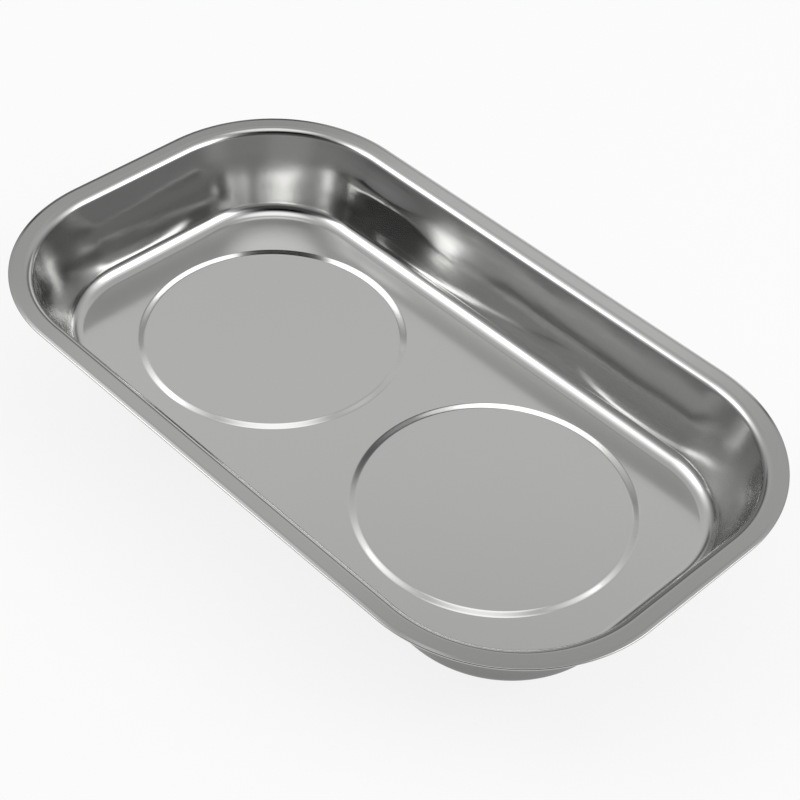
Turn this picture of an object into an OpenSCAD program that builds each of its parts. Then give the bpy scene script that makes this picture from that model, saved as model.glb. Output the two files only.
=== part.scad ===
// Rectangular magnetic parts tray.
// A drawn stainless dish with two raised pads stands on two round magnet bases.
// Each base hangs on a stud that is welded under its pad, so the dish has no hole.
// Millimetres, +Z up. The origin lies on the resting plane, under the middle of the dish.

/* [Dish] */
// Overall length over the rim
dish_length = 241.3; // [230:0.1:300]
// Overall width over the rim
dish_width = 139.7; // [130:0.1:180]
// Plan radius of the rim at its corners
corner_r = 49.4; // [36:0.1:60]
// Depth from the top of the rim to the floor
dish_depth = 26.8; // [18:0.1:40]
// Thickness of the sheet
sheet_t = 0.7; // [0.5:0.05:1]
// Width of the flat rim, from its edge to the bend
rim_width = 4.6; // [3:0.1:8]
// Radius of the bend between rim and wall, on its upper side
rim_bend_r = 3.2; // [1.5:0.1:4]
// Mean slope of the wall away from upright, in degrees
wall_slope = 20.5; // [10:0.5:25]
// Growth of the slope from the foot of the wall to its top, in degrees
wall_flare = 8; // [2:0.5:12]
// Radius between wall and floor, on the inside
floor_fillet_r = 5.2; // [3:0.1:9]

/* [Pads] */
// Distance between the middles of the two pads
pad_span = 97; // [88:0.1:110]
// Height of a pad above the floor
pad_rise = 0.8; // [0.4:0.1:1.6]
// Width of the sloping edge of a pad
pad_edge = 3.2; // [1:0.1:4]
// Room around a boot inside the hollow of its pad
pad_room = 0.2; // [0.2:0.1:1]

/* [Magnet] */
// Outside diameter of the ring magnet
magnet_od = 70; // [60:0.5:74]
// Bore of the ring magnet
magnet_id = 32; // [26:0.5:38]
// Thickness of the ring magnet
magnet_t = 10; // [8:0.5:15]
// Chamfer on the edges of the ring magnet
magnet_chamfer = 0.8; // [0.4:0.1:1.5]
// Height of the spacer ring
spacer_h = 4; // [2:0.1:6]

/* [Cup] */
// Thickness of the cup's steel
cup_t = 1.2; // [0.8:0.1:1.6]
// Gap between the magnet and the wall of the cup
cup_gap = 1.5; // [1:0.1:2.5]
// Gap between the bore of the magnet and the dimple of the cup
dimple_gap = 3; // [1:0.1:4]
// Step of the cup's wall below the face of the magnet
cup_step = 0.2; // [0.1:0.1:1]
// Radius of the cup's bends, on their inner side
cup_bend_r = 0.8; // [0.4:0.1:1.2]

/* [Boot] */
// Thickness of the boot's wall
boot_wall = 1.6; // [1.5:0.1:2.8]
// Thickness of the boot's sole
boot_sole = 2.4; // [1.6:0.1:3.5]
// Radius of the boot's lower edge
boot_edge_r = 1.4; // [0.6:0.1:2]
// Diameter of the hole in the sole
boot_hole_d = 21; // [16:0.5:23]
// Number of grip grooves in the sole
groove_count = 4; // [2:1:5]
// Width of a grip groove
groove_width = 1.6; // [0.8:0.1:2.4]
// Depth of a grip groove
groove_depth = 0.7; // [0.3:0.1:1]

/* [Fasteners] */
// Diameter of the stud
stud_d = 5; // [4:0.5:6]
// Diameter of the stud's welding flange
stud_flange_d = 7; // [6.5:0.1:9]
// Thickness of the stud's welding flange
stud_flange_t = 0.9; // [0.5:0.1:1.5]
// Length of stud that shows below the nut
stud_end = 0.8; // [0.4:0.1:1.2]
// Height of the stud's end above the resting plane
stud_recess = 1.2; // [0.5:0.1:2]
// Width of the nut across its flats
nut_flats = 8; // [7.5:0.1:10]
// Height of the nut
nut_h = 4; // [3:0.1:4.5]
// Diameter of the flat washer
washer_d = 10; // [9:0.1:13]
// Thickness of the flat washer
washer_t = 1; // [0.6:0.1:1.4]
// Diameter of the lock washer
lock_d = 9.2; // [8:0.1:10]
// Thickness of the lock washer
lock_t = 1.2; // [0.8:0.1:1.6]
// Opening of the lock washer's split, in degrees
lock_split = 14; // [8:1:24]

/* [Hidden] */
$fn = 96;

// Clearances between pieces that slip over each other
slip = 0.1;
thread_slip = 0.05;
hole_slip = 0.3;

// Steps along a bend, and reach of a cutting form beyond the face it opens
bend_step_angle = 10;
least_steps = 3;
bend_steps = 8;
edge_steps = 6;
reach = 1;

// Levels, from the resting plane up
cup_floor_z = boot_sole + cup_t;
pad_under_z = cup_floor_z + magnet_t;
pad_top_z = pad_under_z + sheet_t;
floor_z = pad_top_z - pad_rise;
rim_z = floor_z + dish_depth;
nut_z = stud_recess + stud_end;
lock_z = nut_z + nut_h;
washer_z = lock_z + lock_t;
dimple_roof_z = washer_z + washer_t + cup_t;

// Radii of a magnet base, from the middle out
stud_hole_r = stud_d / 2 + hole_slip;
dimple_r = magnet_id / 2 - dimple_gap;
magnet_r = magnet_od / 2;
cup_inner_r = magnet_r + cup_gap;
cup_outer_r = cup_inner_r + cup_t;
boot_inner_r = cup_outer_r + slip;
boot_r = boot_inner_r + boot_wall;
pad_top_r = boot_r + pad_room;
pad_foot_r = pad_top_r + pad_edge;

// Middles of the rim's corner radii
corner_x = dish_length / 2 - corner_r;
corner_y = dish_width / 2 - corner_r;

// Section of the dish, measured outward from the middle of a corner radius
foot_slope = wall_slope - wall_flare / 2;
top_slope = wall_slope + wall_flare / 2;
foot_run = floor_fillet_r * tan((90 - foot_slope) / 2);
top_run = rim_bend_r * tan((90 - top_slope) / 2);
half_depth = dish_depth / 2;
wall_top_u = corner_r - rim_width - top_run;
wall_mid_u = wall_top_u - half_depth * tan(top_slope);
wall_foot_u = wall_mid_u - half_depth * tan(foot_slope);
rim_edge_r = sheet_t / 2;

// The flare takes up most of the straight wall between the two bends
flare_share = 0.75;
flare_room = min(half_depth / cos(foot_slope) - foot_run, half_depth / cos(top_slope) - top_run);
wall_flare_r = flare_share * flare_room / tan(wall_flare / 2);

SIDES = [["left_", -1], ["right_", 1]];
BASE_PIECES = ["weld_stud", "ring_magnet", "spacer_ring", "magnet_cup", "rubber_boot",
    "flat_washer", "lock_washer", "hex_nut"];

// Points of an arc from one angle to another
function arc(middle, r, from, to, steps) =
    [for (i = [0:steps]) let (a = from + (to - from) * i / steps) middle + r * [cos(a), sin(a)]];

// Direction from one point to the next, and its normal to the left
function heading(a, b) = (b - a) / norm(b - a);
function left_of(d) = [-d.y, d.x];

// Rounded corner of a bent sheet; shift moves it to the left of the line the radius is given for
function bend(a, b, c, r, shift) =
    let (d = heading(a, b), e = heading(b, c))
    let (turn = atan2(d.x * e.y - d.y * e.x, d * e), hand = sign(turn))
    let (start = b - d * r * tan(abs(turn) / 2), from = atan2(d.y, d.x) - hand * 90)
    let (steps = max(least_steps, ceil(abs(turn) / bend_step_angle)))
    arc(start + left_of(d) * hand * r, r - hand * shift, from, from + turn, steps);

// One face of a bent sheet along a line of corners, each with its own bend radius
function sheet_face(line, radii, shift) =
    let (last = len(line) - 1)
    concat(
        [line[0] + left_of(heading(line[0], line[1])) * shift],
        [for (i = [1:last - 1]) each bend(line[i - 1], line[i], line[i + 1], radii[i - 1], shift)],
        [line[last] + left_of(heading(line[last - 1], line[last])) * shift]);

function backward(points) = [for (i = [len(points) - 1:-1:0]) points[i]];
function without_last(points) = [for (i = [0:len(points) - 2]) points[i]];

// Inside line of the dish, from the floor to the rim
dish_line = [[0, floor_z], [wall_foot_u, floor_z], [wall_mid_u, floor_z + half_depth],
    [wall_top_u, rim_z], [corner_r - rim_edge_r, rim_z]];
dish_bends = [floor_fillet_r, wall_flare_r, rim_bend_r];

// Everything inside the outer face of the dish, up to the top of the rim
dish_outer = concat(
    sheet_face(dish_line, dish_bends, -sheet_t),
    arc([corner_r - rim_edge_r, rim_z - rim_edge_r], rim_edge_r, -90, 90, edge_steps),
    [[0, rim_z]]);

// Everything above the inner face of the dish
bend_end_u = corner_r - rim_width;
dish_inner = concat(
    without_last(sheet_face(dish_line, dish_bends, 0)),
    [[bend_end_u, rim_z + reach], [0, rim_z + reach]]);

// Section carried around the rounded rectangle: four turned corners and two crossing bars
module around_dish(section) {
    for (x = [-corner_x, corner_x], y = [-corner_y, corner_y])
        translate([x, y, 0]) rotate_extrude() polygon(section);
    bar(section, corner_x, corner_y);
    rotate([0, 0, 90]) bar(section, corner_y, corner_x);
}

// Straight stretch with the section on both sides; half is its half length, out the offset of its sides
module bar(section, half, out) {
    sides = concat(
        [for (p = section) [p.x + out, p.y]],
        [for (p = backward(section)) [-p.x - out, p.y]]);
    rotate([90, 0, 90]) linear_extrude(2 * half, center = true) polygon(sides);
}

// Rise of a pad with a softly rounded edge; it reaches below the floor as a cutting form
module pad_form() {
    edge = [for (i = [0:bend_steps]) let (s = i / bend_steps)
        [pad_foot_r - pad_edge * s, floor_z + pad_rise * (1 - cos(180 * s)) / 2]];
    rotate_extrude() polygon(concat([[0, floor_z - reach], [pad_foot_r, floor_z - reach]], edge,
        [[0, pad_top_z]]));
}

module at_pads() {
    for (side = SIDES) translate([side[1] * pad_span / 2, 0, 0]) children();
}

// Drawn stainless sheet with two raised pads
module dish() {
    color("silver") difference() {
        around_dish(dish_outer);
        translate([0, 0, -sheet_t]) at_pads() pad_form();
        difference() {
            around_dish(dish_inner);
            at_pads() pad_form();
        }
    }
}

// Threaded stud, welded by its flange to the underside of a pad
module weld_stud() {
    r = stud_d / 2;
    tip = stud_d / 8;
    flange_r = stud_flange_d / 2;
    flange_z = pad_under_z - stud_flange_t;
    color("goldenrod") rotate_extrude() polygon([[0, stud_recess], [r - tip, stud_recess],
        [r, stud_recess + tip], [r, flange_z], [flange_r, flange_z], [flange_r, pad_under_z],
        [0, pad_under_z]]);
}

// Ring of hard ferrite between the cup and the pad
module ring_magnet() {
    c = magnet_chamfer;
    in = magnet_id / 2;
    color("dimgray") rotate_extrude() polygon([
        [in + c, cup_floor_z], [magnet_r - c, cup_floor_z], [magnet_r, cup_floor_z + c],
        [magnet_r, pad_under_z - c], [magnet_r - c, pad_under_z], [in + c, pad_under_z],
        [in, pad_under_z - c], [in, cup_floor_z + c]]);
}

// Plastic ring that keeps the magnet in the middle of its cup
module spacer_ring() {
    in = magnet_r + slip;
    out = cup_inner_r - slip;
    color("ivory") rotate_extrude() polygon([
        [in, cup_floor_z], [out - cup_bend_r, cup_floor_z], [out, cup_floor_z + cup_bend_r],
        [out, cup_floor_z + spacer_h], [in, cup_floor_z + spacer_h]]);
}

// Pressed steel cup with a dimple in its middle
module magnet_cup() {
    line = [[stud_hole_r, dimple_roof_z], [dimple_r, dimple_roof_z], [dimple_r, cup_floor_z],
        [cup_inner_r, cup_floor_z], [cup_inner_r, pad_under_z - cup_step]];
    bends = [cup_bend_r + cup_t, cup_bend_r, cup_bend_r];
    color("lightsteelblue") rotate_extrude() polygon(concat(
        sheet_face(line, bends, 0), backward(sheet_face(line, bends, -cup_t))));
}

// Rubber cover over the cup, with grip grooves in its sole
module rubber_boot() {
    hole_r = boot_hole_d / 2;
    groove_pitch = (boot_r - boot_edge_r - hole_r) / (groove_count + 1);
    top_z = pad_under_z - cup_step;
    color([0.1, 0.1, 0.11]) difference() {
        rotate_extrude() polygon(concat(
            [[hole_r, 0]],
            arc([boot_r - boot_edge_r, boot_edge_r], boot_edge_r, -90, 0, bend_steps),
            [[boot_r, top_z], [boot_inner_r, top_z], [boot_inner_r, boot_sole], [hole_r, boot_sole]]));
        for (i = [1:groove_count])
            rotate_extrude() translate([hole_r + i * groove_pitch - groove_width / 2, -reach])
                square([groove_width, groove_depth + reach]);
    }
}

// Plain washer under the roof of the dimple
module flat_washer() {
    color("silver") translate([0, 0, washer_z]) difference() {
        cylinder(h = washer_t, d = washer_d);
        translate([0, 0, -reach]) cylinder(h = washer_t + 2 * reach, d = stud_d + hole_slip);
    }
}

// Split spring washer, pressed flat by the nut
module lock_washer() {
    in = stud_d / 2 + slip;
    color("gray") translate([0, 0, lock_z]) rotate_extrude(angle = 360 - lock_split)
        translate([in, 0]) square([lock_d / 2 - in, lock_t]);
}

// Hexagon nut with chamfered corners
module hex_nut() {
    corner = nut_flats / cos(30) / 2;
    flat = nut_flats / 2;
    fall = (corner - flat) * tan(30);
    color("silver") translate([0, 0, nut_z]) difference() {
        intersection() {
            cylinder(h = nut_h, r = corner, $fn = 6);
            rotate_extrude() polygon([[0, 0], [flat, 0], [corner, fall], [corner, nut_h - fall],
                [flat, nut_h], [0, nut_h]]);
        }
        translate([0, 0, -reach]) cylinder(h = nut_h + 2 * reach, r = stud_d / 2 + thread_slip);
    }
}

dish();
for (side = SIDES) translate([side[1] * pad_span / 2, 0, 0]) {
    weld_stud();
    ring_magnet();
    spacer_ring();
    magnet_cup();
    rubber_boot();
    flat_washer();
    lock_washer();
    hex_nut();
}
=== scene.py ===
"""Looks of a rectangular magnetic parts tray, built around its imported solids.

A drawn stainless dish with two raised pads stands on two round magnet bases. The dish is one closed
surface: a section carried around a rounded rectangle, with a floor that spreads from the middle of
each pad. The bases show as the solids that they are, apart from their studs, which get a thread.
Everything is in metres, in the frame of the solids.
"""

import logging
import math
from dataclasses import dataclass, field
from enum import Enum
from typing import Any, Sequence

import bpy
import numpy as np
from mathutils import Matrix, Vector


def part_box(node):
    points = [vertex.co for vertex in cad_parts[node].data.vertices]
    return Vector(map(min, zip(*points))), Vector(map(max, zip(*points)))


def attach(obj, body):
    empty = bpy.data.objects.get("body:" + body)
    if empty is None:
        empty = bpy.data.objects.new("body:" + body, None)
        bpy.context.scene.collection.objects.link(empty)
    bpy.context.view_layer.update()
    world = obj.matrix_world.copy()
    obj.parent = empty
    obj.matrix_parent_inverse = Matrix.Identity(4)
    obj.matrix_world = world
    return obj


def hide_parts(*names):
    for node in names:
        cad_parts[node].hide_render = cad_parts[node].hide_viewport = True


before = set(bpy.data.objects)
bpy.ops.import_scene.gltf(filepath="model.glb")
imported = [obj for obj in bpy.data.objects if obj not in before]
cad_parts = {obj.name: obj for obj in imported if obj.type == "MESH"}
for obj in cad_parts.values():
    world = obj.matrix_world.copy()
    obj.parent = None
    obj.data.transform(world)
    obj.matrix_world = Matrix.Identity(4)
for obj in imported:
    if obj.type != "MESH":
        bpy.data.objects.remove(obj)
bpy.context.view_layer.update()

LOG = logging.getLogger("parts_tray")
MM = 0.001
WELD = 0.001 * MM
ROOT = "root"
IMAGE_PX = 800
MIX_FIRST, MIX_SECOND, MIX_RESULT = 6, 7, 2
NOISE_MEAN = 0.5
WHITE = (1.0, 1.0, 1.0, 1.0)

Points = np.ndarray
Faces = np.ndarray
Colour = tuple[float, float, float]


class Side(Enum):
    """The two ends of the dish that carry a magnet base."""

    LEFT = -1
    RIGHT = 1

    @property
    def prefix(self) -> str:
        """First part of the names of this base's nodes."""
        return self.name.lower() + "_"


# Shader graphs


class Value:
    """One output socket of a node tree, so that shader maths reads as plain expressions."""

    def __init__(self, graph: "Graph", socket: bpy.types.NodeSocket | None) -> None:
        """Keeps the socket and the graph that it belongs to."""
        self.graph = graph
        self.socket = socket

    def _math(self, operation: str, first: Any, second: Any) -> "Value":
        """Result of one Math node on two values or numbers."""
        return self.graph.node("ShaderNodeMath", {"operation": operation}, {0: first, 1: second})

    def __add__(self, other: Any) -> "Value":
        """Sum."""
        return self._math("ADD", self, other)

    __radd__ = __add__

    def __sub__(self, other: Any) -> "Value":
        """Difference."""
        return self._math("SUBTRACT", self, other)

    def __rsub__(self, other: Any) -> "Value":
        """Difference with a number on the left."""
        return self._math("SUBTRACT", other, self)

    def __mul__(self, other: Any) -> "Value":
        """Product."""
        return self._math("MULTIPLY", self, other)

    __rmul__ = __mul__

    def size(self) -> "Value":
        """Value without its sign."""
        return self._math("ABSOLUTE", self, 0.0)

    def smooth(self, low: float, high: float, to_low: float = 0.0, to_high: float = 1.0) -> "Value":
        """Smooth step of this value.

        Args:
            low: Value at which the step starts.
            high: Value at which the step ends.
            to_low: Result below the step.
            to_high: Result above the step.

        Returns:
            The eased result.
        """
        return self.graph.node(
            "ShaderNodeMapRange",
            {"interpolation_type": "SMOOTHSTEP"},
            {"Value": self, "From Min": low, "From Max": high, "To Min": to_low, "To Max": to_high},
        )


class Graph:
    """The node tree of a material or of the world."""

    def __init__(self, tree: bpy.types.NodeTree) -> None:
        """Empties the tree and keeps it."""
        tree.nodes.clear()
        self.tree = tree

    def node(
        self,
        kind: str,
        settings: dict[str, Any] | None = None,
        inputs: dict[Any, Any] | None = None,
        output: Any = 0,
    ) -> Value:
        """Adds one node.

        Args:
            kind: Blender's name of the node's type.
            settings: Attributes that are set first.
            inputs: Values or links, by the socket's name or number.
            output: Name or number of the socket that is given back.

        Returns:
            The chosen output.
        """
        made = self.tree.nodes.new(kind)
        for name, value in (settings or {}).items():
            setattr(made, name, value)
        for name, value in (inputs or {}).items():
            if isinstance(value, Value):
                self.tree.links.new(value.socket, made.inputs[name])
            else:
                made.inputs[name].default_value = value
        return Value(self, made.outputs[output]) if made.outputs else Value(self, None)

    def object_place(self, stretch: Sequence[float] = (1.0, 1.0, 1.0)) -> Value:
        """Object coordinates, with a factor on each axis."""
        return self.stretched(self.node("ShaderNodeTexCoord", output="Object"), stretch)

    def dot(self, vector: Value, axis: Sequence[float]) -> Value:
        """Length of a vector along an axis, which is a direction of length 1."""
        settings = {"operation": "DOT_PRODUCT"}
        return self.node("ShaderNodeVectorMath", settings, {0: vector, 1: tuple(axis)}, output="Value")

    def noise(self, place: Value, scale: float, detail: float = 2.0) -> Value:
        """Soft noise from 0 to 1, by its waves per metre and its number of finer layers."""
        sockets = {"Vector": place, "Scale": scale, "Detail": detail}
        return self.node("ShaderNodeTexNoise", inputs=sockets)

    def mix_colour(self, factor: Value, low: "Value | Colour", high: "Value | Colour") -> Value:
        """Mix of two colours.

        Args:
            factor: Share of the second colour.
            low: First colour.
            high: Second colour.

        Returns:
            The mixed colour.
        """
        first, second = (c if isinstance(c, Value) else (*c, 1.0) for c in (low, high))
        sockets = {0: factor, MIX_FIRST: first, MIX_SECOND: second}
        return self.node("ShaderNodeMix", {"data_type": "RGBA"}, sockets, output=MIX_RESULT)

    def parts(self, vector: Value) -> tuple[Value, Value, Value]:
        """The three parts of a vector."""
        made = self.node("ShaderNodeSeparateXYZ", inputs={0: vector})
        return tuple(Value(self, socket) for socket in made.socket.node.outputs)

    def attribute(self, name: str) -> Value:
        """Vector that a mesh keeps at its points, by the attribute's name."""
        return self.node("ShaderNodeAttribute", {"attribute_name": name}, output="Vector")

    def stretched(self, vector: Value, stretch: Sequence[float]) -> Value:
        """Coordinates with a factor on each axis."""
        return self.node("ShaderNodeMapping", inputs={"Vector": vector, "Scale": tuple(stretch)})

    def bump(self, height: Value, strength: float, distance: float) -> Value:
        """Normal that is tilted by a height; the distance is a height of 1, in metres."""
        sockets = {"Height": height, "Strength": strength, "Distance": distance}
        return self.node("ShaderNodeBump", inputs=sockets)

    def surface(self, tone: Value, rough: Value, normal: Value, metallic: float = 0.0) -> None:
        """Ends the material in one Principled shader.

        Args:
            tone: Colour.
            rough: Roughness.
            normal: Tilted normal.
            metallic: 1 for a metal.
        """
        sockets = {"Base Color": tone, "Metallic": metallic, "Roughness": rough, "Normal": normal}
        shader = self.node("ShaderNodeBsdfPrincipled", inputs=sockets)
        self.node("ShaderNodeOutputMaterial", inputs={"Surface": shader})


# Finishes


@dataclass(frozen=True)
class Finish:
    """A named surface that dresses pieces; each kind adds its own graph."""

    name: str
    slot: str

    def material(self) -> bpy.types.Material:
        """Makes the material of this finish at its first use.

        Returns:
            The material.
        """
        found = bpy.data.materials.get(self.name)
        if found is not None:
            return found
        made = bpy.data.materials.new(self.name)
        made.use_nodes = True
        self.draw(Graph(made.node_tree))
        return made

    def draw(self, graph: Graph) -> None:
        """Draws the finish into an empty graph."""
        raise NotImplementedError

    def dress(self, piece: bpy.types.Object) -> None:
        """Puts this finish on every face of a piece."""
        piece.data.materials.clear()
        piece.data.materials.append(self.material())


@dataclass(frozen=True)
class BrightSheet(Finish):
    """Bright rolled stainless sheet, with painted shade in its tone: walls darker (partly duller drawn
    metal), outside dark, rim ends darker.
    """

    tone: Colour = (0.66, 0.66, 0.652)
    # Darker tone of the drawn walls: partly duller drawn metal, partly painted shade.
    drawn_shaded_tone: Colour = (0.56, 0.56, 0.552)
    # Painted shade: the outside is darkened, standing in for the shaded floor that it mirrors.
    outer_shade_tone: Colour = (0.2, 0.2, 0.196)
    # Painted shade: darker tone of the rim towards its ends and on the short sides.
    rim_shade_tone: Colour = (0.47, 0.474, 0.461)
    roughness: float = 0.13
    drawn_roughness: float = 0.11
    corner_roughness: float = 0.2
    corner_from: tuple[float, float] = (70.0 * MM, 20.0 * MM)
    corner_ease: float = 12.0 * MM
    outer_roughness: float = 0.3
    # Painted shade on the rim: full past these distances from the middle, kept off the middle of the long
    # sides.
    rim_shade_from: float = 40.0 * MM
    rim_shade_to: float = 105.0 * MM
    rim_near_share: float = 0.5
    rim_side: tuple[float, float] = (40.0 * MM, 62.0 * MM)
    smear_per_m: float = 38.0
    smear_gloss: float = 0.05
    grain_per_m: float = 2600.0
    grain_stretch: float = 0.02
    grain_gloss: float = 0.04
    buckle_per_m: float = 26.0
    buckle_height: float = 0.05 * MM
    wave_per_m: float = 60.0
    wave_stretch: float = 2.0
    wave_height: float = 0.04 * MM
    streak_per_m: float = 45.0
    streak_stretch: float = 7.0
    streak_patch_per_m: float = 24.0
    streak_patch: tuple[float, float] = (0.45, 0.65)
    streak_height: float = 0.05 * MM
    streak_from: tuple[float, float] = (-30.0 * MM, -10.0 * MM)

    def draw(self, graph: Graph) -> None:
        """Grain runs along X on the floor; waves run round the walls, and streaks on the far and left ones.

        Args:
            graph: The material's empty graph.
        """
        plain = graph.object_place()
        along = graph.object_place((self.grain_stretch, 1.0, 1.0))
        wrap = graph.attribute("wrap")
        drawn, rim, outer = graph.parts(graph.attribute("marks"))
        smear = graph.noise(plain, self.smear_per_m, detail=3.0)
        grain = graph.noise(along, self.grain_per_m)
        across, deep, _ = graph.parts(plain)
        # Painted shade on the rim: it keeps the sheet's tone along the middle of the far side, half of it
        # along the near side, and darkens towards the ends.
        sides = deep.smooth(*self.rim_side) + (0 - deep).smooth(*self.rim_side) * self.rim_near_share
        rim_lit = sides * across.size().smooth(self.rim_shade_from, self.rim_shade_to, 1.0, 0.0)
        rim_shade = rim * (1 - rim_lit)
        # Painted shade: the drawn walls take a darker tone, partly as duller drawn metal.
        tone = graph.mix_colour(drawn, self.tone, self.drawn_shaded_tone)
        tone = graph.mix_colour(rim_shade, tone, self.rim_shade_tone)
        # Painted shade: the outside metal takes a dark tone.
        tone = graph.mix_colour(outer, tone, self.outer_shade_tone)
        rough = self.roughness + drawn * (self.drawn_roughness - self.roughness)
        ends = zip((across, deep), self.corner_from, strict=True)
        far, wide = (place.size().smooth(start, start + self.corner_ease) for place, start in ends)
        rough = rough + drawn * far * wide * (self.corner_roughness - self.drawn_roughness)
        rough = rough + outer * (self.outer_roughness - self.drawn_roughness)
        rough = rough + (smear - NOISE_MEAN) * self.smear_gloss
        rough = rough + (grain - NOISE_MEAN) * (1 - drawn) * self.grain_gloss
        buckle = graph.noise(plain, self.buckle_per_m, detail=1.0) * self.buckle_height
        waves = graph.stretched(wrap, (1.0, 1.0, self.wave_stretch))
        wave = graph.noise(waves, self.wave_per_m, detail=1.0) * self.wave_height
        patch = graph.noise(wrap, self.streak_patch_per_m, detail=1.0).smooth(*self.streak_patch)
        lines = graph.stretched(wrap, (1.0, 1.0, self.streak_stretch))
        right = across.smooth(self.corner_from[0], self.corner_from[0] + self.corner_ease)
        patch = patch * (1 - far * wide) * (1 - right) * deep.smooth(*self.streak_from)
        streak = graph.noise(lines, self.streak_per_m, detail=1.0) * patch * self.streak_height
        normal = graph.bump(buckle + (wave + streak) * drawn, strength=1.0, distance=1.0)
        graph.surface(tone, rough, normal, metallic=1.0)


@dataclass(frozen=True)
class MouldedRubber(Finish):
    """Matt black rubber with a fine moulded skin and a little dust."""

    tone: Colour = (0.018, 0.018, 0.019)
    dust_tone: Colour = (0.05, 0.05, 0.05)
    dust_per_m: float = 90.0
    dust_step: tuple[float, float] = (0.45, 0.75)
    roughness: float = 0.62
    skin_per_m: float = 3200.0
    skin_height: float = 0.04 * MM
    skin_share: float = 0.6
    skin_gloss: float = 0.15

    def draw(self, graph: Graph) -> None:
        """Dust lies in soft patches over a grained skin.

        Args:
            graph: The material's empty graph.
        """
        plain = graph.object_place()
        dust = graph.noise(plain, self.dust_per_m, detail=4.0).smooth(*self.dust_step)
        skin = graph.noise(plain, self.skin_per_m)
        tone = graph.mix_colour(dust, self.tone, self.dust_tone)
        normal = graph.bump(skin, self.skin_share, self.skin_height)
        graph.surface(tone, self.roughness + skin * self.skin_gloss, normal)


@dataclass(frozen=True)
class PlatedSteel(Finish):
    """Plated or plain steel of small fittings, with faint press marks."""

    tone: Colour = (0.62, 0.63, 0.65)
    stain_tone: Colour = (0.5, 0.51, 0.53)
    roughness: float = 0.28
    stain_per_m: float = 220.0
    stain_step: tuple[float, float] = (0.35, 0.7)
    stain_gloss: float = 0.12
    mark_per_m: float = 700.0
    mark_height: float = 0.02 * MM
    mark_share: float = 0.5

    def draw(self, graph: Graph) -> None:
        """Stains change the tone and the gloss together.

        Args:
            graph: The material's empty graph.
        """
        plain = graph.object_place()
        stain = graph.noise(plain, self.stain_per_m, detail=3.0).smooth(*self.stain_step)
        mark = graph.noise(plain, self.mark_per_m, detail=3.0)
        tone = graph.mix_colour(stain, self.tone, self.stain_tone)
        normal = graph.bump(mark, self.mark_share, self.mark_height)
        graph.surface(tone, self.roughness + stain * self.stain_gloss, normal, metallic=1.0)


@dataclass(frozen=True)
class DullSolid(Finish):
    """Plain non-metal body, such as pressed ferrite or moulded plastic, with a fine grain."""

    tone: Colour = (0.06, 0.06, 0.062)
    grain_tone: Colour = (0.09, 0.09, 0.092)
    roughness: float = 0.55
    grain_per_m: float = 1800.0
    grain_height: float = 0.03 * MM
    grain_share: float = 0.5
    grain_gloss: float = 0.2

    def draw(self, graph: Graph) -> None:
        """Grain shifts the tone and roughens the face.

        Args:
            graph: The material's empty graph.
        """
        grain = graph.noise(graph.object_place(), self.grain_per_m, detail=3.0)
        tone = graph.mix_colour(grain, self.tone, self.grain_tone)
        normal = graph.bump(grain, self.grain_share, self.grain_height)
        graph.surface(tone, self.roughness + (grain - NOISE_MEAN) * self.grain_gloss, normal)


STAINLESS = BrightSheet("bright_stainless", "stainless")
RUBBER = MouldedRubber("moulded_rubber", "boot_rubber")
ZINC = PlatedSteel("zinc_plate", "plated_steel")
SPRING = PlatedSteel("oiled_spring_steel", "spring_steel", (0.33, 0.33, 0.34), (0.24, 0.24, 0.25), 0.36)
COPPER = PlatedSteel("copper_flash", "stud_steel", (0.66, 0.42, 0.29), (0.5, 0.33, 0.24), 0.3)
FERRITE = DullSolid("ground_ferrite", "ferrite")
PLASTIC = DullSolid("moulded_plastic", "spacer_plastic", (0.7, 0.69, 0.64), (0.76, 0.75, 0.7), 0.5, 900.0)


# Surfaces


def unit(vectors: Points) -> Points:
    """Vectors of length 1: each is divided by the root of its summed squares.

    Args:
        vectors: Vectors along the last axis.

    Returns:
        Vectors of the same directions.
    """
    return vectors / np.linalg.norm(vectors, axis=-1, keepdims=True)


def raised(plan: Points, height: Points | float) -> Points:
    """Vectors whose first two parts are a plan's and whose third is a height.

    Args:
        plan: Two parts along the last axis.
        height: Third part, of any shape that spreads over the plan.

    Returns:
        Vectors of three parts.
    """
    third = np.broadcast_to(height, plan.shape[:-1])
    return np.concatenate([plan, third[..., None]], axis=-1)


def grid_quads(index: Faces, after: Faces) -> Faces:
    """Quads between each row of a grid and the row after it.

    Args:
        index: Number of each point, rows by columns.
        after: Number of the point that follows it in the next row, of the same shape.

    Returns:
        Four point numbers a face.
    """
    return np.stack([index[:, :-1], after[:, :-1], after[:, 1:], index[:, 1:]], axis=-1).reshape(-1, 4)


def weld_points(points: Points) -> tuple[Faces, Faces]:
    """Finds the points that lie within a micrometre of each other.

    Args:
        points: Places of the points.

    Returns:
        The first point of each joined one, and the joined point of each point.
    """
    keys = np.round(points / WELD).astype(np.int64)
    _, first, joined = np.unique(keys, axis=0, return_index=True, return_inverse=True)
    return first, joined.reshape(-1)


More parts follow.
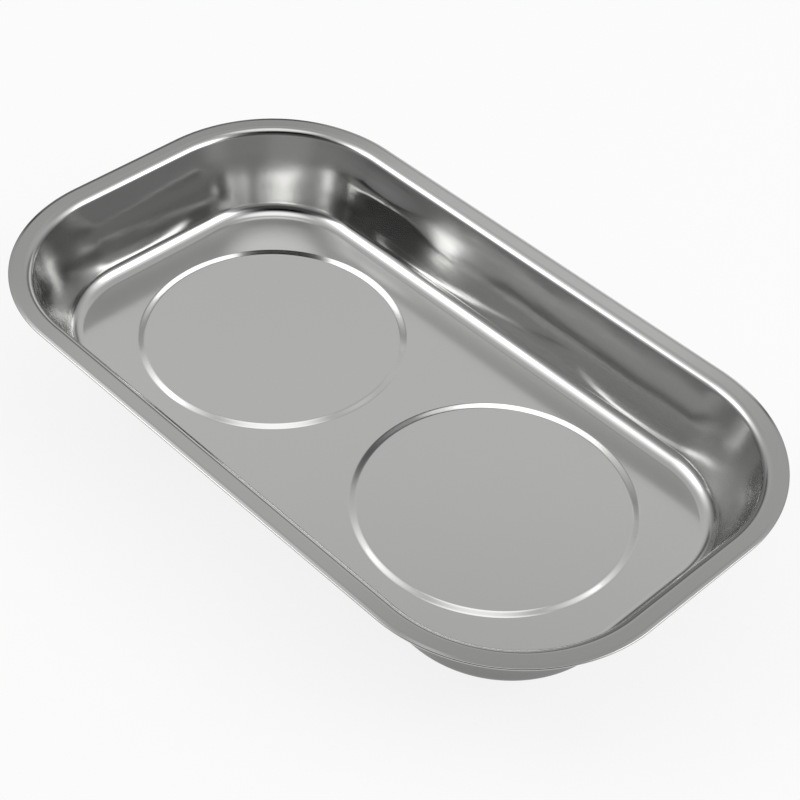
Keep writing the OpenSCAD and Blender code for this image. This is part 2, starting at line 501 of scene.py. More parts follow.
@dataclass
class Surface:
    """Patches of quads with their normals, joined into one welded mesh."""

    points: list[Points] = field(default_factory=list)
    normals: list[Points] = field(default_factory=list)
    marks: list[Points] = field(default_factory=list)
    wraps: list[Points] = field(default_factory=list)
    faces: list[Faces] = field(default_factory=list)
    count: int = 0

    def add(self, points: Points, normals: Points, marks: Points, wraps: Points, flip: bool) -> None:
        """Adds a grid of points as quads between its rows and columns; the last row joins the first.

        Args:
            points: Places, rows by columns by 3.
            normals: Outward normals, of the same shape.
            marks: Shares of drawn, rim and outer metal, of the same shape.
            wraps: Coordinates that run round the dish and up its section, of the same shape.
            flip: Whether the quads turn the other way.
        """
        rows, columns = points.shape[:2]
        index = np.arange(rows * columns).reshape(rows, columns) + self.count
        quads = grid_quads(index, np.roll(index, -1, axis=0))
        self.faces.append(quads[:, ::-1] if flip else quads)
        stores = (self.points, self.normals, self.marks, self.wraps)
        for store, values in zip(stores, (points, normals, marks, wraps), strict=True):
            store.append(np.broadcast_to(values, points.shape).reshape(-1, 3))
        self.count += rows * columns

    def welded(self) -> tuple[Points, Points, Points, Points, Faces]:
        """Joins the patches where their points meet.

        Returns:
            Places, mean normals, marks, wrapped coordinates and quads on the joined points.
        """
        points, normals = np.concatenate(self.points), np.concatenate(self.normals)
        first, joined = weld_points(points)
        summed = np.zeros((len(first), 3))
        np.add.at(summed, joined, normals)
        marks, wraps = np.concatenate(self.marks)[first], np.concatenate(self.wraps)[first]
        return points[first], unit(summed), marks, wraps, joined[np.concatenate(self.faces)]


def fill_mesh(name: str, points: Points, quads: Faces) -> bpy.types.Mesh:
    """Puts arrays into a new mesh; a quad with a repeated corner becomes a triangle.

    Args:
        name: Name of the mesh.
        points: Places of the points.
        quads: Four point numbers a face.

    Returns:
        The mesh, with every face smooth.
    """
    repeat = quads == np.roll(quads, -1, axis=1)
    corners = quads[~repeat]
    totals = 4 - repeat.sum(axis=1)
    starts = np.concatenate([[0], np.cumsum(totals)[:-1]])
    mesh = bpy.data.meshes.new(name)
    mesh.vertices.add(len(points))
    mesh.vertices.foreach_set("co", points.astype(np.float32).ravel())
    mesh.loops.add(len(corners))
    mesh.loops.foreach_set("vertex_index", corners.astype(np.int32))
    mesh.polygons.add(len(quads))
    mesh.polygons.foreach_set("loop_start", starts.astype(np.int32))
    mesh.polygons.foreach_set("loop_total", totals.astype(np.int32))
    mesh.polygons.foreach_set("use_smooth", np.ones(len(quads), bool))
    mesh.update(calc_edges=True)
    mesh.validate()
    return mesh


def place_piece(mesh: bpy.types.Mesh, finish: Finish, node: str) -> None:
    """Makes a piece of a mesh, in the place of one solid.

    Args:
        mesh: The finished mesh, in the frame of the solids.
        finish: What dresses the piece.
        node: The solid that the piece stands for.
    """
    piece = bpy.data.objects.new(mesh.name, mesh)
    bpy.context.scene.collection.objects.link(piece)
    finish.dress(piece)
    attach(piece, ROOT)
    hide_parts(node)
    LOG.info("piece %s: %d faces for %s", piece.name, len(mesh.polygons), node)


def dress_node(node: str, finish: Finish) -> None:
    """Dresses a solid that shows as it is.

    Args:
        node: Name of the solid.
        finish: What dresses it.
    """
    finish.dress(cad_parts[node])
    LOG.info("solid %s: dressed in %s", node, finish.name)


def arc(
    middle: Sequence[float], radius: float, start: float, end: float, steps: int
) -> tuple[Points, Points]:
    """Points of an arc: middle plus radius times the cosine and sine of an evenly growing angle.

    Args:
        middle: Middle of the arc in its plane.
        radius: Radius of the arc.
        start: First angle, in degrees.
        end: Last angle, in degrees.
        steps: Number of steps.

    Returns:
        The points, and the directions from the middle.
    """
    angle = np.radians(np.linspace(start, end, steps + 1))
    away = np.stack([np.cos(angle), np.sin(angle)], axis=1)
    return np.asarray(middle) + radius * away, away


@dataclass(frozen=True)
class Bend:
    """One corner of a bent sheet: its place in the section, its radius, and its steps."""

    place: tuple[float, float]
    radius: float
    steps: int


def bent_face(
    start: Sequence[float], bends: Sequence[Bend], end: Sequence[float], shift: float
) -> list[tuple[Points, Points]]:
    """Bends along one face of a sheet: at each corner an arc that touches the lines on both sides.

    Args:
        start: First point of the line that the radii are given for.
        bends: Corners of the line, in order.
        end: Last point of the line.
        shift: Distance of the face to the left of the line.

    Returns:
        Points and left-hand normals of each arc.
    """
    line = np.array([start, *(bend.place for bend in bends), end])
    ahead = unit(np.diff(line, axis=0))
    arcs = []
    for bend, (before, after) in zip(bends, zip(ahead[:-1], ahead[1:])):
        turn = math.atan2(before[0] * after[1] - before[1] * after[0], before @ after)
        hand = math.copysign(1.0, turn)
        left = np.array([-before[1], before[0]])
        touch = np.array(bend.place) - before * bend.radius * math.tan(abs(turn) / 2)
        first = math.degrees(math.atan2(before[1], before[0])) - hand * 90
        middle = touch + left * hand * bend.radius
        last = first + math.degrees(turn)
        points, away = arc(middle, bend.radius - hand * shift, first, last, bend.steps)
        arcs.append((points, -hand * away))
    return arcs


def between(first: Sequence[float], last: Sequence[float], steps: int) -> Points:
    """Points inside a straight stretch, without its ends.

    Args:
        first: Start of the stretch.
        last: End of the stretch.
        steps: Number of steps from start to end.

    Returns:
        The points between the ends.
    """
    share = np.linspace(0.0, 1.0, steps + 1)[1:-1, None]
    return np.asarray(first) * (1 - share) + np.asarray(last) * share


def eased(values: Points, low: float, high: float) -> Points:
    """Share that eases from 0 at the low value to 1 at the high one, as a cubic with level ends.

    Args:
        values: What is graded.
        low: Value at which the share leaves 0.
        high: Value at which the share reaches 1.

    Returns:
        The shares.
    """
    share = np.clip((values - low) / (high - low), 0.0, 1.0)
    return share * share * (3 - 2 * share)


# Dish


@dataclass(frozen=True)
class Dent:
    """A shallow bell-shaped dent of a wall; a depth below zero presses the wall inward."""

    run: float
    height: float
    length: float
    tall: float
    depth: float


@dataclass
class Dish:
    """Drawn stainless sheet with a rim, sloping walls, round corners and two raised pads.

    The brow is the outer edge of the rim, which turns down a little.
    """

    corner_r: float = 49.4 * MM
    depth: float = 26.8 * MM
    sheet: float = 0.7 * MM
    rim_width: float = 4.6 * MM
    rim_bend_r: float = 3.2 * MM
    brow_turn: float = 18.0
    brow_corner_turn: float = 5.0
    brow_run: float = 0.8 * MM
    brow_r: float = 2.5 * MM
    wall_slope: float = 20.5
    wall_flare: float = 8.0
    flare_share: float = 0.75
    floor_fillet_r: float = 5.2 * MM
    pad_span: float = 97.0 * MM
    pad_top_r: float = 39.6 * MM
    pad_edge: float = 2.8 * MM
    pad_rise: float = 0.8 * MM
    pad_skew: tuple[float, float] = (-0.2, 0.2)
    dents: tuple[Dent, ...] = (
        Dent(run=62.5 * MM, height=17.3 * MM, length=14.5 * MM, tall=3.6 * MM, depth=-0.56 * MM),
        Dent(run=49.0 * MM, height=8.7 * MM, length=11.0 * MM, tall=7.7 * MM, depth=0.25 * MM),
    )
    dent_foot: tuple[float, float] = (1.0 * MM, 6.0 * MM)
    dent_top: tuple[float, float] = (21.5 * MM, 25.5 * MM)
    slope_step: float = 0.02 * MM
    corner_steps: int = 60
    straight_step: float = 1.8 * MM
    fillet_steps: int = 18
    flare_steps: int = 12
    rim_bend_steps: int = 14
    brow_steps: int = 5
    lip_steps: int = 10
    flat_steps: int = 3
    upper_wall_steps: int = 4
    edge_steps: int = 2
    pad_rings: tuple[float, ...] = (0.0, 0.3, 0.6, 0.85)
    ramp_steps: int = 24
    floor_steps: int = 4

    def __post_init__(self) -> None:
        """Works out the section from the box of the solid and the sizes above.

        A bend takes up its radius times the tangent of half its turn, on the lines at both sides. The
        flare has the radius that takes up its share of the shorter half of the wall.
        """
        low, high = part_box("dish")
        self.rim_z = high.z
        self.floor_z = high.z - self.depth
        self.corner_x = (high.x - low.x) / 2 - self.corner_r
        self.corner_y = (high.y - low.y) / 2 - self.corner_r
        foot, top = (math.radians(self.wall_slope + half * self.wall_flare) for half in (-0.5, 0.5))
        foot_run = self.floor_fillet_r * math.tan((math.pi / 2 - foot) / 2)
        top_run = self.rim_bend_r * math.tan((math.pi / 2 - top) / 2)
        half = self.depth / 2
        room = min(half / math.cos(foot) - foot_run, half / math.cos(top) - top_run)
        self.flare_r = self.flare_share * room / math.tan(math.radians(self.wall_flare) / 2)
        self.wall_top = self.corner_r - self.rim_width - top_run
        self.wall_mid = self.wall_top - half * math.tan(top)
        self.wall_foot = self.wall_mid - half * math.tan(foot)
        self.floor_r = self.wall_foot - foot_run

    def section(self, brow_turn: float) -> tuple[Points, Points, Points]:
        """Section of the sheet from the floor's edge up the inside, over the rim and down the outside.

        The inside is a line with four bends: fillet, flare, rim bend and the brow that turns the rim's
        edge down a little. The outside is the same line one sheet away. A half round lip joins the two.

        Args:
            brow_turn: Angle by which the rim's edge turns down, in degrees.

        Returns:
            Offsets from the floor's edge with heights, normals in the same plane, and marks.
        """
        edge_r = self.sheet / 2
        turn = math.radians(brow_turn)
        along = np.array([math.cos(turn), -math.sin(turn)])
        away = np.array([math.sin(turn), math.cos(turn)])
        brow_place = (self.corner_r - self.floor_r - edge_r - self.brow_run, self.rim_z)
        end = brow_place + along * (self.brow_run + edge_r * math.sin(turn)) / math.cos(turn)
        middle_z = self.floor_z + self.depth / 2
        bends = [
            Bend((self.wall_foot - self.floor_r, self.floor_z), self.floor_fillet_r, self.fillet_steps),
            Bend((self.wall_mid - self.floor_r, middle_z), self.flare_r, self.flare_steps),
            Bend((self.wall_top - self.floor_r, self.rim_z), self.rim_bend_r, self.rim_bend_steps),
            Bend(brow_place, self.brow_r, self.brow_steps),
        ]
        start = (-self.floor_r, self.floor_z)
        inner = bent_face(start, bends, end, 0.0)
        below = bent_face(start, bends, end, -self.sheet)
        outer = [(points[::-1], -normals[::-1]) for points, normals in below]
        (foot, foot_n), (flare, flare_n), (bend, bend_n), (brow, brow_n) = inner
        (under_foot, under_foot_n), (under_flare, under_flare_n), (under_bend, under_bend_n) = outer[:3]
        under_brow, under_brow_n = outer[3]
        top_angle = 90 - brow_turn
        lip, lip_n = arc(end - edge_r * away, edge_r, top_angle, top_angle - 180, self.lip_steps)
        rising, falling = np.linspace(0.0, 1.0, len(foot)), np.linspace(1.0, 0.0, len(bend))
        settling = np.linspace(1.0, 0.0, len(under_foot))
        up, down = (0.0, 1.0), (0.0, -1.0)
        flat = self.flat_steps
        parts = [
            (foot, foot_n, rising, 0.0, 0.0),
            (between(foot[-1], flare[0], flat), flare_n[0], 1.0, 0.0, 0.0),
            (flare, flare_n, 1.0, 0.0, 0.0),
            (between(flare[-1], bend[0], self.upper_wall_steps), flare_n[-1], 1.0, 0.0, 0.0),
            (bend, bend_n, falling, 1.0 - falling, 0.0),
            (between(bend[-1], brow[0], flat), up, 0.0, 1.0, 0.0),
            (brow, brow_n, 0.0, 1.0, 0.0),
            (between(brow[-1], lip[0], self.edge_steps), away, 0.0, 1.0, 0.0),
            (lip, lip_n, 0.0, 1.0, 0.0),
            (between(lip[-1], under_brow[0], self.edge_steps), -away, 0.0, 0.0, 1.0),
            (under_brow, under_brow_n, 0.0, 0.0, 1.0),
            (between(under_brow[-1], under_bend[0], flat), down, 0.0, 0.0, 1.0),
            (under_bend, under_bend_n, 0.5, 0.0, 1.0),
            (between(under_bend[-1], under_flare[0], flat), under_flare_n[0], 1.0, 0.0, 1.0),
            (under_flare, under_flare_n, 1.0, 0.0, 1.0),
            (between(under_flare[-1], under_foot[0], flat), under_flare_n[-1], 1.0, 0.0, 1.0),
            (under_foot, under_foot_n, settling, 0.0, 1.0),
        ]
        places = np.concatenate([part[0] for part in parts])
        normals = np.concatenate([np.broadcast_to(part[1], part[0].shape) for part in parts])
        columns = [[np.broadcast_to(mark, len(part[0])) for mark in part[2:]] for part in parts]
        marks = np.concatenate([np.stack(column, axis=1) for column in columns])
        return places, normals, marks

    def half_outline(self) -> tuple[Points, Points]:
        """Edge of the floor on the right half, from the near side round to the far side.

        Straight stretches join two quarter arcs about the middles of the rim's corners.

        Returns:
            Points of the edge and their outward directions, in plan.
        """
        near, near_away = arc((self.corner_x, -self.corner_y), self.floor_r, -90, 0, self.corner_steps)
        far, far_away = arc((self.corner_x, self.corner_y), self.floor_r, 0, 90, self.corner_steps)
        long_steps = round(self.corner_x / self.straight_step)
        short_steps = round(2 * self.corner_y / self.straight_step)
        first, last = np.array([0.0, near[0, 1]]), np.array([0.0, far[-1, 1]])
        lead, side, tail = (
            between(first, near[0], long_steps),
            between(near[-1], far[0], short_steps),
            between(far[-1], last, long_steps),
        )
        points = np.concatenate([[first], lead, near, side, far, tail, [last]])
        down, right, up = (0.0, -1.0), (1.0, 0.0), (0.0, 1.0)
        away = np.concatenate(
            [
                np.broadcast_to(down, (len(lead) + 1, 2)),
                near_away,
                np.broadcast_to(right, side.shape),
                far_away,
                np.broadcast_to(up, (len(tail) + 1, 2)),
            ]
        )
        return points, away

    def pad_profile(self) -> tuple[Points, Points, Points]:
        """Rise of a pad over its radius: flat, then an even ramp with rounded ends.

        Across the ramp, from -1 to 1, the slope goes with one less the fourth power of the place. It is
        level at both ends and nearly even between, and the height is what that slope adds up to.

        Returns:
            Radii, heights above the floor and slopes.
        """
        share = np.linspace(0.0, 1.0, self.ramp_steps + 1)
        place = 2 * share - 1
        mean_slope = 4 / 5
        rings = np.array(self.pad_rings)
        radius = np.concatenate([rings, 1.0 + share * self.pad_edge / self.pad_top_r])
        radius *= self.pad_top_r
        fallen = (share - (place**5 + 1) / 10) / mean_slope
        rise = np.concatenate([np.ones(len(rings)), 1 - fallen]) * self.pad_rise
        fall = np.concatenate([np.zeros(len(rings)), (1 - place**4) / mean_slope])
        return radius, rise, -fall * self.pad_rise / self.pad_edge

    def add_floor(self, surface: Surface, side: Side, top: bool) -> None:
        """Adds half of the floor: rays from the middle of a pad out to the floor's edge.

        A point is the pad's middle plus a radius along the ray; past the pad's foot the radius grows
        evenly up to the edge. The height is the pad's rise. The ramp is wider on the far left, as if
        the press had met the sheet a little askew.

        Args:
            surface: What the patch is added to.
            side: The half of the dish.
            top: Whether it is the upper face, or else the underside.
        """
        edge, _ = self.half_outline()
        middle = np.array([self.pad_span / 2, 0.0])
        seam = between(edge[-1], edge[0], round((edge[-1, 1] - edge[0, 1]) / self.straight_step))
        loop = np.concatenate([edge, seam])
        reach = np.linalg.norm(loop - middle, axis=1)
        ray = (loop - middle) / reach[:, None]
        radius, rise, slope = self.pad_profile()
        turn = np.array([side.value, 1.0, 1.0])
        widening = 1 + (ray * turn[:2] * self.pad_skew).sum(axis=1, keepdims=True)
        past = np.maximum(radius - self.pad_top_r, 0.0)
        ramp = radius - past + past * widening
        spread = np.linspace(0.0, 1.0, self.floor_steps + 1)[1:]
        flat = ramp[:, -1:] + (reach[:, None] - ramp[:, -1:]) * spread
        radii = np.concatenate([ramp, flat], axis=1)
        heights = np.concatenate([rise, np.zeros(len(spread))])
        slopes = np.concatenate([slope / widening, np.zeros(flat.shape)], axis=1)
        spoke = ray[:, None, :]
        drop, facing = (0.0, 1.0) if top else (self.sheet, -1.0)
        points = raised(middle + radii[..., None] * spoke, self.floor_z + heights - drop)
        normals = unit(raised(-slopes[..., None] * spoke, 1.0))
        flip = (side is Side.RIGHT) == top
        marks = np.array([0.0, 0.0, 0.0 if top else 1.0])
        surface.add(points * turn, normals * turn * facing, marks, np.zeros(3), flip)

    def pressed(self, run: Points, height: Points) -> Points:
        """Outward shift of the walls: the sum of the dents, eased off towards the floor and the rim.

        Each dent is a bell: its depth times e to the minus squared distance, along and up.

        Args:
            run: Distance along the floor's edge from the middle of the far side, to the left.
            height: Height above the floor.

        Returns:
            The shift at each pair of run and height.
        """
        shift = np.zeros(np.broadcast_shapes(run.shape, height.shape))
        for dent in self.dents:
            across, up = (run - dent.run) / dent.length, (height - dent.height) / dent.tall
            shift += dent.depth * np.exp(-(across**2) - up**2)
        return shift * eased(height, *self.dent_foot) * (1 - eased(height, *self.dent_top))

    def add_walls(self, surface: Surface) -> None:
        """Adds fillet, wall, bend and rim: the section carried outward along the floor's edge.

        Round the corners the section eases to one whose rim is flatter, by the squared sine of twice the
        angle of the outward direction. The dents shift each point outward. A normal leans by the shift's
        slopes along and up the wall, which are differences over a small step. The wrapped coordinates
        are a ring as long as the floor's edge, with the length up the section as their height.

        Args:
            surface: What the patch is added to.
        """
        edge, away = self.half_outline()
        turn = np.array([-1.0, 1.0])
        path = np.concatenate([edge, (edge * turn)[-2:0:-1]])
        out = np.concatenate([away, (away * turn)[-2:0:-1]])
        beside = np.stack([-out[:, 1], out[:, 0]], axis=1)
        section, lean, marks = self.section(self.brow_turn)
        corner_section, corner_lean, _ = self.section(self.brow_corner_turn)
        corner = ((2 * out[:, 0] * out[:, 1]) ** 2)[:, None, None]
        places = section + (corner_section - section) * corner
        tilt = lean + (corner_lean - lean) * corner
        run = np.cumsum(np.linalg.norm(path - np.roll(path, 1, axis=0), axis=1))
        place = (run - run[0] - run[-1] / 2)[:, None]
        height = places[..., 1] - self.floor_z
        step = self.slope_step
        shift = self.pressed(place, height)
        along = (self.pressed(place + step, height) - self.pressed(place - step, height)) / (2 * step)
        rising = (self.pressed(place, height + step) - self.pressed(place, height - step)) / (2 * step)
        turned = np.all(np.abs(path) > (self.corner_x, self.corner_y), axis=1)
        along /= 1 + turned[:, None] * places[..., 0] / self.floor_r
        plan = path[:, None, :] + out[:, None, :] * (places[..., 0] + shift)[..., None]
        points = raised(plan, places[..., 1])
        flat = out[:, None, :] - beside[:, None, :] * along[..., None]
        normals = unit(raised(flat * tilt[..., :1], tilt[..., 1] - tilt[..., 0] * rising))
        rise = np.cumsum(np.linalg.norm(np.diff(section, axis=0, prepend=section[:1]), axis=1))
        angle, ring = run * (2 * math.pi / run[-1]), run[-1] / (2 * math.pi)
        circle = ring * np.stack([np.cos(angle), np.sin(angle)], axis=1)
        wraps = raised(np.broadcast_to(circle[:, None, :], plan.shape), rise)
        surface.add(points, normals, marks, wraps, True)

    def build(self) -> bpy.types.Mesh:
        """Joins walls and floors into one closed sheet.

        Returns:
            The mesh, with exact normals, marks of its metal and wrapped coordinates.
        """
        surface = Surface()
        self.add_walls(surface)
        for side in Side:
            for top in (True, False):
                self.add_floor(surface, side, top)
        points, normals, marks, wraps, quads = surface.welded()
        mesh = fill_mesh("drawn_dish", points, quads)
        for name, values in (("marks", marks), ("wrap", wraps)):
            kept = mesh.attributes.new(name, "FLOAT_VECTOR", "POINT")
            kept.data.foreach_set("vector", values.astype(np.float32).ravel())
        mesh.normals_split_custom_set_from_vertices(normals.tolist())
        return mesh

    def make(self) -> None:
        """Builds the dish and puts it in the place of its solid."""
        place_piece(self.build(), STAINLESS, "dish")


# Magnet bases


@dataclass
class WeldStud:
    """Threaded stud with a welding flange, on the underside of one pad."""

    side: Side
    around: int = 64
    radius: float = 2.5 * MM
    tip: float = 0.625 * MM
    flange_t: float = 0.9 * MM
    flange_ease: float = 0.15 * MM
    pitch: float = 0.8 * MM
    turn_rows: int = 16
    depth: float = 0.42 * MM
    crest: float = 0.12
    root: float = 0.86
    run_out: tuple[float, float] = (0.4 * MM, 1.6 * MM)
    sharp_angle: float = 28.0

    @property
    def node(self) -> str:
        """Name of the solid that the stud stands for."""
        return self.side.prefix + "weld_stud"

    def thread(self, low: float, high: float) -> tuple[Points, Points]:
        """Radii and heights of the thread on a grid whose rows follow the thread.

        A row climbs one pitch in a turn and is held between the ends. The cut deepens evenly from the
        crest to the root over half a pitch, runs out below the flange, and gives way to the cone of
        the tip.

        Args:
            low: Height of the tip.
            high: Height of the flange.

        Returns:
            Radii and heights, steps round by rows up.
        """
        turned = np.arange(self.around)[:, None] / self.around
        turns = math.ceil((high - low) / self.pitch + 1)
        rows = np.arange(turns * self.turn_rows + 1)[None, :] / self.turn_rows
        height = np.clip(low + self.pitch * (rows + turned - 1), low, high)
        wave = np.abs(2 * (rows % 1.0) - 1)
        cut = np.clip((wave - self.crest) / (self.root - self.crest), 0.0, 1.0)
        cut = cut * eased(high - height, *self.run_out) * self.depth
        return np.minimum(self.radius - cut, self.radius - self.tip + height - low), height

    def build(self) -> bpy.types.Mesh:
        """Joins the thread, the flange and the two ends into one closed skin.

        Places are radius times the cosine and sine of the angle round the stud's axis. At the last
        step round, each row of the thread meets the row one pitch further up.

        Returns:
            The finished mesh.
        """
        low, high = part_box(self.node)
        flange_r, flange_z = (high.x - low.x) / 2, high.z - self.flange_t
        radius, height = self.thread(low.z, flange_z)
        ease = self.flange_ease
        edge_r = (flange_r - ease, flange_r, flange_r, flange_r - ease, 0.0)
        edge_z = (flange_z, flange_z + ease, high.z - ease, high.z, high.z)
        column = np.ones((self.around, 1))
        radius = np.concatenate([column * 0.0, radius, column * edge_r], axis=1)
        height = np.concatenate([column * low.z, height, column * edge_z], axis=1)
        angle = 2 * math.pi * np.arange(self.around)[:, None] / self.around
        across = (low.x + high.x) / 2 + radius * np.cos(angle)
        deep = (low.y + high.y) / 2 + radius * np.sin(angle)
        points = np.stack([across, deep, height], axis=-1).reshape(-1, 3)
        index = np.arange(radius.size).reshape(radius.shape)
        after = np.roll(index, -1, axis=0)
        last_row = radius.shape[1] - len(edge_r) - 1
        thread_rows = np.arange(1, last_row + 1)
        after[-1, thread_rows] = index[0, np.minimum(thread_rows + self.turn_rows, last_row)]
        first, joined = weld_points(points)
        quads = joined[grid_quads(index, after)]
        whole = (quads == np.roll(quads, -1, axis=1)).sum(axis=1) < 2
        mesh = fill_mesh(self.side.prefix + "threaded_stud", points[first], quads[whole])
        mesh.set_sharp_from_angle(angle=math.radians(self.sharp_angle))
        return mesh

    def make(self) -> None:
        """Builds the stud and dresses it in copper."""
        place_piece(self.build(), COPPER, self.node)


@dataclass
class MagnetBase:
    """Boot, cup, magnet and fasteners under one pad."""

    side: Side

    def make(self) -> None:
        """Builds the stud and dresses the other solids of the base."""
        WeldStud(self.side).make()
        finishes = {
            "ring_magnet": FERRITE,
            "spacer_ring": PLASTIC,
            "magnet_cup": ZINC,
            "rubber_boot": RUBBER,
            "flat_washer": ZINC,
            "lock_washer": SPRING,
            "hex_nut": ZINC,
        }
        for piece, finish in finishes.items():
            dress_node(self.side.prefix + piece, finish)


# Studio


def sight(azimuth: float, elevation: float) -> np.ndarray:
    """Directions across, up and out of a plane that faces the tray.

    Out is the sine and minus the cosine of the azimuth, times the elevation's cosine, with the
    elevation's sine as its height. Across is level, and up is square to both.

    Args:
        azimuth: Turn to the right from the front, in degrees.
        elevation: Angle above the floor, in degrees.

    Returns:
        The three directions, one a row.
    """
    turn, tilt = math.radians(azimuth), math.radians(elevation)
    out = np.array([math.sin(turn) * math.cos(tilt), -math.cos(turn) * math.cos(tilt), math.sin(tilt)])
    across = np.array([math.cos(turn), math.sin(turn), 0.0])
    return np.stack([across, np.cross(out, across), out])


def stand(data: bpy.types.ID, axes: Sequence[np.ndarray], place: np.ndarray) -> bpy.types.Object:
    """Adds a camera or a lamp that looks against its third axis.

    Args:
        data: The camera or the lamp.
        axes: Directions across, up and back.
        place: Where it stands.

    Returns:
        The object.
    """
    made = bpy.data.objects.new(data.name, data)
    turned = np.eye(4)
    turned[:3, :4] = np.stack([*axes, place], axis=1)
    made.matrix_world = Matrix(turned.tolist())
    bpy.context.scene.collection.objects.link(made)
    return made


@dataclass
class PhotoCamera:
    """Camera at the photograph's angle, aimed at a point of the rim's plane."""

    azimuth: float = 43.70
    elevation: float = 43.69
    roll: float = 3.558
    distance: float = 0.52555
    aim_x: float = 0.01807
    aim_y: float = -0.01009
    focal_px: float = 1853.3
    sensor_mm: float = 36.0
    clip_start: float = 0.01
    clip_end: float = 100.0

    def make(self, aim_z: float) -> None:
        """Makes the camera and makes it the scene's own.

        Args:
            aim_z: Height of the rim's plane.
        """
        right, up, back = sight(self.azimuth, self.elevation)
        roll = math.radians(self.roll)
        right, up = (
            math.cos(roll) * right + math.sin(roll) * up,
            math.cos(roll) * up - math.sin(roll) * right,
        )
        place = np.array([self.aim_x, self.aim_y, aim_z]) + self.distance * back
        data = bpy.data.cameras.new("photo_camera")
        data.sensor_width = self.sensor_mm
        data.lens = self.focal_px * self.sensor_mm / IMAGE_PX
        data.clip_start = self.clip_start
        data.clip_end = self.clip_end
        bpy.context.scene.camera = stand(data, (right, up, back), place)


@dataclass(frozen=True)
class Softbox:
    """A large light with soft edges: a lamp in the middle of a glow on the room's wall.

    Turn counts from the camera's azimuth to its right, and half sizes are sines of angles. A softbox
    without a lamp is a pale patch of the wall, and one whose glow is below zero is a dark patch.
    """

    name: str
    turn: float
    elevation: float
    half_width: float
    half_height: float
    edge: float
    glow: float
    lamp: float = 0.0
    lamp_share: float = 0.7
    distance: float = 1.1
    front_ease: tuple[float, float] = (0.0, 0.3)

    def hang(self, camera_azimuth: float) -> None:
        """Hangs the lamp.

        Args:
            camera_azimuth: Azimuth of the camera, in degrees.
        """
        axes = sight(camera_azimuth + self.turn, self.elevation)
        data = bpy.data.lights.new(self.name, "AREA")
        data.shape = "RECTANGLE"
        data.size = 2 * self.half_width * self.lamp_share * self.distance
        data.size_y = 2 * self.half_height * self.lamp_share * self.distance
        data.energy = self.lamp * math.pi * data.size * data.size_y
        stand(data, axes, axes[-1] * self.distance)

    def shine(self, graph: Graph, way: Value, camera_azimuth: float) -> Value:
        """Glow of the light in the room's shader: full in its middle and eased off over its edges.

        Args:
            graph: The room's graph.
            way: Direction that is looked at.
            camera_azimuth: Azimuth of the camera, in degrees.

        Returns:
            The glow's level.
        """
        axes = sight(camera_azimuth + self.turn, self.elevation)
        across, up, out = (graph.dot(way, axis) for axis in axes)
        half = self.edge / 2
        wide = across.size().smooth(self.half_width - half, self.half_width + half, 1.0, 0.0)
        high = up.size().smooth(self.half_height - half, self.half_height + half, 1.0, 0.0)
        return wide * high * out.smooth(*self.front_ease) * self.glow


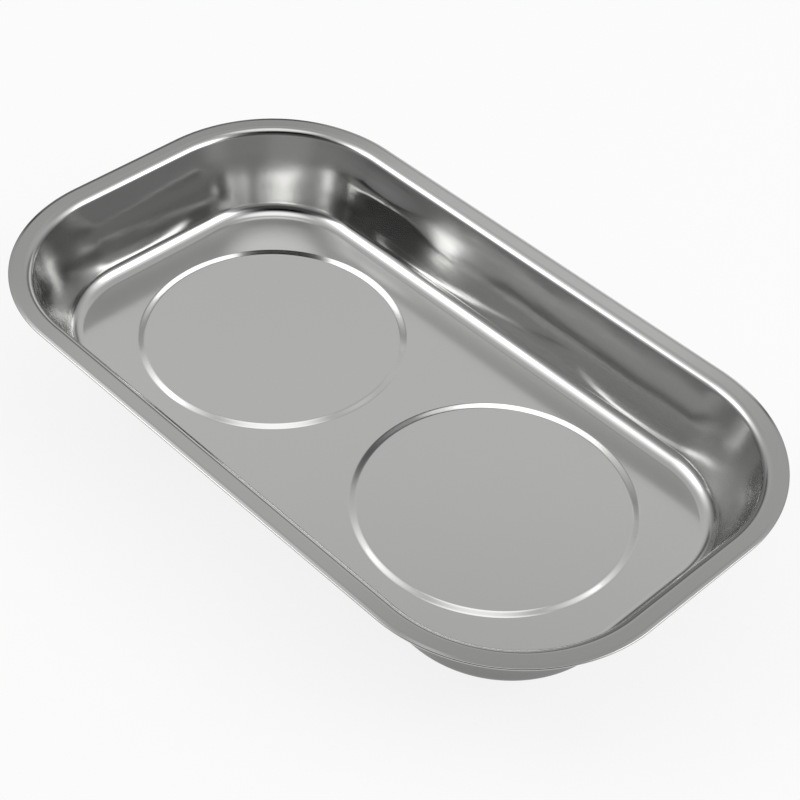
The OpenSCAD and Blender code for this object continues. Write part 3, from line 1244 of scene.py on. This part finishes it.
@dataclass
class Studio:
    """Pale floor, a pale room that is dim on the camera's side, a softbox at each hand, and patches."""

    camera_azimuth: float
    floor_half: float = 6.0
    floor_white: float = 0.85
    floor_tone: float = 0.95
    room: float = 0.65
    room_low: float = 0.2
    dip: float = 0.1
    zenith: float = 0.9
    dim: float = 0.88
    room_rise: tuple[float, float] = (0.03, 0.7)
    dip_rise: tuple[float, float] = (0.7, 0.8)
    zenith_rise: tuple[float, float] = (0.93, 0.995)
    dim_front: tuple[float, float] = (0.22, 0.4)
    dim_low: tuple[float, float] = (0.3, 0.5)
    dim_high: tuple[float, float] = (0.88, 0.97)
    softboxes: tuple[Softbox, ...] = (
        Softbox(
            "left_softbox", turn=-96.0, elevation=44.0, half_width=0.34, half_height=0.25,
            edge=0.5, glow=1.35, lamp=1.6,
        ),
        Softbox(
            "right_softbox", turn=77.0, elevation=39.0, half_width=0.38, half_height=0.34,
            edge=0.4, glow=0.9, lamp=2.2,
        ),
        Softbox(
            "backdrop", turn=160.0, elevation=14.0, half_width=0.3, half_height=0.12,
            edge=0.28, glow=0.75,
        ),
        Softbox(
            "dark_screen", turn=180.0, elevation=27.0, half_width=0.5, half_height=0.1,
            edge=0.14, glow=-0.36,
        ),
        Softbox(
            "pale_strip", turn=-8.0, elevation=11.0, half_width=0.3, half_height=0.1,
            edge=0.2, glow=0.1,
        ),
    )

    def make_floor(self) -> None:
        """Lays a plain pale floor on the resting plane."""
        corners = np.array([[-1.0, -1.0], [1.0, -1.0], [1.0, 1.0], [-1.0, 1.0]])
        points = raised(corners * self.floor_half, 0.0)
        mesh = fill_mesh("studio_floor", points, np.array([[0, 1, 2, 3]]))
        floor = bpy.data.objects.new("studio_floor", mesh)
        bpy.context.scene.collection.objects.link(floor)
        material = bpy.data.materials.new("pale_floor")
        material.use_nodes = True
        graph = Graph(material.node_tree)
        rays = ("Is Camera Ray", "Is Glossy Ray", "Is Transmission Ray")
        seen, shine, through = (graph.node("ShaderNodeLightPath", output=ray) for ray in rays)
        plain = graph.node("ShaderNodeBsdfDiffuse", inputs={"Color": (*[self.floor_tone] * 3, 1.0)})
        white = graph.node("ShaderNodeEmission", inputs={"Color": WHITE, "Strength": 1.0})
        share = (seen + shine + through) * self.floor_white
        mixed = graph.node("ShaderNodeMixShader", inputs={0: share, 1: plain, 2: white})
        graph.node("ShaderNodeOutputMaterial", inputs={"Surface": mixed})
        mesh.materials.append(material)

    def make_room(self) -> None:
        """Lights the room: pale all round, dim in front, a little darker high up, and bright overhead."""
        world = bpy.data.worlds.new("pale_room")
        bpy.context.scene.world = world
        world.use_nodes = True
        graph = Graph(world.node_tree)
        turn = math.radians(self.camera_azimuth)
        way = graph.node("ShaderNodeTexCoord", output="Generated")
        front = graph.dot(way, (math.sin(turn), -math.cos(turn), 0.0))
        height = graph.dot(way, (0.0, 0.0, 1.0))
        shade = front.smooth(*self.dim_front) * height.smooth(*self.dim_low)
        shade = shade * height.smooth(*self.dim_high, 1.0, 0.0)
        level = height.smooth(*self.room_rise, self.room_low, self.room) * (1 - self.dim * shade)
        level = level - height.smooth(*self.dip_rise) * self.dip
        level = level + height.smooth(*self.zenith_rise) * self.zenith
        for softbox in self.softboxes:
            level = level + softbox.shine(graph, way, self.camera_azimuth)
        light = graph.node("ShaderNodeBackground", inputs={"Color": WHITE, "Strength": level})
        graph.node("ShaderNodeOutputWorld", inputs={"Surface": light})

    def make(self) -> None:
        """Builds the floor and the lights."""
        self.make_floor()
        self.make_room()
        for softbox in self.softboxes:
            if softbox.lamp > 0.0:
                softbox.hang(self.camera_azimuth)


def main() -> None:
    """Builds the tray, the camera and the studio."""
    logging.basicConfig(level=logging.INFO, format="%(name)s: %(message)s")
    dish = Dish()
    dish.make()
    for side in Side:
        MagnetBase(side).make()
    camera = PhotoCamera()
    camera.make(dish.rim_z)
    Studio(camera.azimuth).make()
    bpy.context.scene.view_settings.view_transform = "Standard"


if __name__ == "__main__":
    main()
